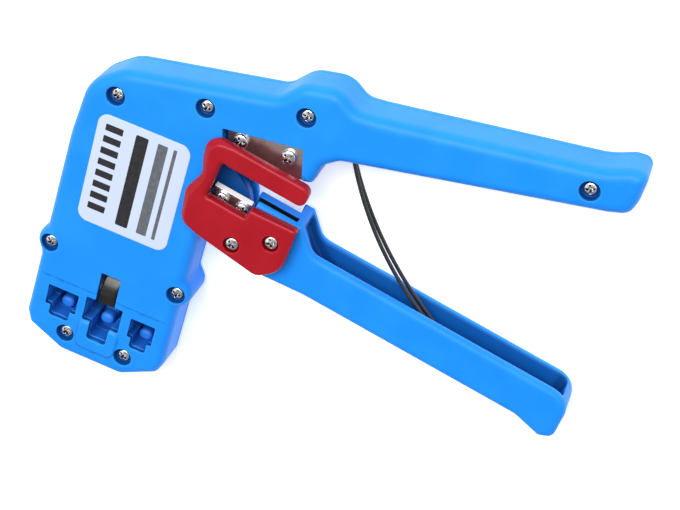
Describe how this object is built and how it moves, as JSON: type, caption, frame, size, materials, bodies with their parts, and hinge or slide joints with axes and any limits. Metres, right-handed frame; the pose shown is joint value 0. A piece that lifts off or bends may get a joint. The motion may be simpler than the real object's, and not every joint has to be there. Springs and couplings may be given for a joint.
{
  "type": "modular plug crimping tool",
  "caption": "Hand crimping tool for modular telephone and network plugs, with a hinged grip, a wire return spring, plug pockets and a guarded cutting and stripping station.",
  "frame": {"origin": "centre of the closed casing's outline, on the plane that the back of the casing rests on", "axes": "+X along the fixed grip towards its end, +Y from the hinged grip towards the fixed grip, +Z out of the front face with the plug pockets"},
  "size_m": [0.184, 0.1096, 0.021],
  "materials": {
    "blue_plastic": "fine satin moulding",
    "inner_blue_plastic": "satin moulding",
    "red_plastic": "semi-gloss moulding",
    "plate_blank": "satin film",
    "frame_steel": "zinc plated",
    "black_steel": "blackened, semi-gloss",
    "bright_screws": "nickel plated",
    "blade_steel": "ground",
    "spring_wire": "black oiled music wire"
  },
  "bodies": {
    "casing": {"front_shell": "blue_plastic", "rear_shell": "blue_plastic", "name_plate": "plate_blank", "frame_plate_front": "frame_steel", "frame_plate_rear": "frame_steel", "frame_studs": "frame_steel", "pivot_pin": "frame_steel", "pivot_clip": "black_steel", "plug_nest_front": "inner_blue_plastic", "plug_nest_rear": "inner_blue_plastic", "upper_blade": "blade_steel", "upper_blade_screws": "bright_screws", "shell_screws": "bright_screws", "spring_post": "frame_steel", "return_spring": "spring_wire"},
    "ram_carriage": {"ram": "frame_steel", "crimp_die_8p": "black_steel", "crimp_die_6p": "black_steel", "crimp_die_4p": "black_steel", "cord_press_finger": "black_steel"},
    "grip": {"lower_handle": "blue_plastic", "lever_plate": "frame_steel", "cam_pin": "frame_steel", "blade_guard": "red_plastic", "guard_screws": "bright_screws", "lower_blade": "blade_steel", "lower_blade_screws": "bright_screws"}
  },
  "joints": [
    {"name": "grip_hinge", "type": "hinge", "parent": "casing", "child": "grip", "pos_m": [-0.03572, 0.01141, 0.008], "axis": [0, 0, 1], "range_deg": [0, 22], "stiffness_Nm_per_rad": 1.6, "springref_deg": -14.32, "deforming": ["return_spring"]},
    {"name": "ram_slide", "type": "slide", "parent": "casing", "child": "ram_carriage", "axis": [-0.2164, -0.9763, 0], "range_m": [0, 0.0054]}
  ],
  "couplings": [
    {"joint": "ram_slide", "follows": "grip_hinge", "m_per_rad": 0.013914}
  ]
}
